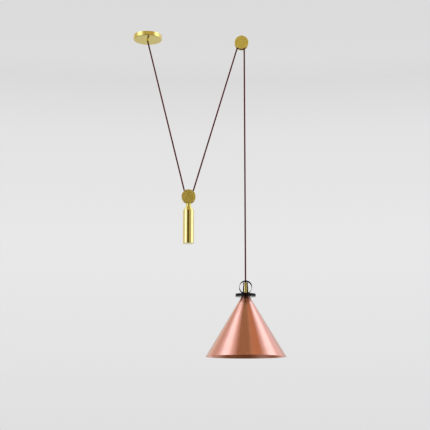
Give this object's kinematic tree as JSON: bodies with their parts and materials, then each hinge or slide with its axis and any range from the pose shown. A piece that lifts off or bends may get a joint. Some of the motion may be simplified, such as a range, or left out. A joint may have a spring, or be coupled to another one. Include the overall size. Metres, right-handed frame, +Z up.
{
  "type": "rise and fall pendant light",
  "caption": "Rise and fall ceiling pendant: cone shade on a cloth cord that runs over a ceiling pulley and under a counterweight pulley to a round canopy.",
  "frame": {"origin": "centre of the canopy's ceiling face, on the ceiling plane", "axes": "+Z up out of the ceiling face, +X from the canopy towards the ceiling pulley and the lamp, -Y towards the viewer in front"},
  "size_m": [0.6745, 0.347, 1.441],
  "materials": {
    "satin_brass": "satin, finely brushed",
    "polished_brass": "polished",
    "plain_brass": "as turned",
    "copper": "spun copper, satin with a lacquer",
    "satin_black": "matt black powder coat",
    "black_phenolic": "turned and polished phenolic",
    "bright_steel": "zinc plated",
    "dark_steel": "blackened",
    "white_nylon": "moulded",
    "black_plastic": "moulded phenolic",
    "wire_insulation": "extruded",
    "cord_cloth": "braided cotton"
  },
  "bodies": {
    "ceiling": {"canopy_cup": "satin_brass", "canopy_strap": "bright_steel", "canopy_outlet": "satin_brass", "outlet_set_screw": "dark_steel", "terminal_block": "white_nylon", "terminal_screws": "plain_brass", "block_screws": "bright_steel", "earth_screw": "plain_brass", "canopy_wires": "wire_insulation", "cord_in_canopy": "cord_cloth", "ceiling_front_disc": "satin_brass", "ceiling_back_disc": "satin_brass", "ceiling_hanger": "satin_brass", "ceiling_disc_screws": "bright_steel", "ceiling_axle": "bright_steel", "ceiling_washers": "white_nylon", "cord_left_run": "cord_cloth", "cord_right_run": "cord_cloth", "cord_ceiling_wrap": "cord_cloth", "cord_drop_run": "cord_cloth"},
    "ceiling_sheave": {"ceiling_sheave": "dark_steel", "ceiling_bush": "plain_brass"},
    "counterweight": {"weight_front_disc": "satin_brass", "weight_back_disc": "satin_brass", "weight_disc_screws": "bright_steel", "weight_axle": "bright_steel", "weight_washers": "white_nylon", "weight_neck": "satin_brass", "weight_sleeve": "polished_brass", "weight_core": "plain_brass", "weight_end_cap": "polished_brass", "weight_tie_stud": "bright_steel", "cord_weight_wrap": "cord_cloth"},
    "weight_sheave": {"weight_sheave": "dark_steel", "weight_bush": "plain_brass"},
    "lamp": {"hoop_band": "satin_black", "hoop_grommet": "black_plastic", "hoop_saddle": "satin_black", "stem_cap": "polished_brass", "stem_body": "polished_brass", "cord_grip": "black_plastic", "stem_set_screw": "dark_steel", "lamp_nipple": "bright_steel", "cap_disc": "black_phenolic", "shade_cone": "copper", "shade_washer": "bright_steel", "shade_locknut": "plain_brass", "holder_cap": "black_plastic", "holder_shell": "black_plastic", "screw_shell": "plain_brass", "centre_contact": "plain_brass", "holder_wires": "wire_insulation", "cord_in_lamp": "cord_cloth"}
  },
  "joints": [
    {"name": "lamp_travel", "type": "slide", "parent": "ceiling", "child": "lamp", "axis": [0, 0, 1], "range_m": [-0.4, 0.4], "deforming": ["cord_drop_run"]},
    {"name": "counterweight_travel", "type": "slide", "parent": "ceiling", "child": "counterweight", "axis": [0, 0, 1], "range_m": [-0.21, 0.21], "deforming": ["cord_left_run", "cord_right_run"]},
    {"name": "ceiling_sheave_spin", "type": "hinge", "parent": "ceiling", "child": "ceiling_sheave", "pos_m": [0.425, 0, -0.0335], "axis": [0, 1, 0], "continuous": true},
    {"name": "weight_sheave_spin", "type": "hinge", "parent": "counterweight", "child": "weight_sheave", "pos_m": [0.189, 0, -0.744], "axis": [0, 1, 0], "continuous": true}
  ],
  "couplings": [
    {"joint": "counterweight_travel", "follows": "lamp_travel", "ratio": -0.51818},
    {"joint": "ceiling_sheave_spin", "follows": "lamp_travel", "rad_per_m": -83.333},
    {"joint": "weight_sheave_spin", "follows": "lamp_travel", "rad_per_m": 41.938}
  ]
}
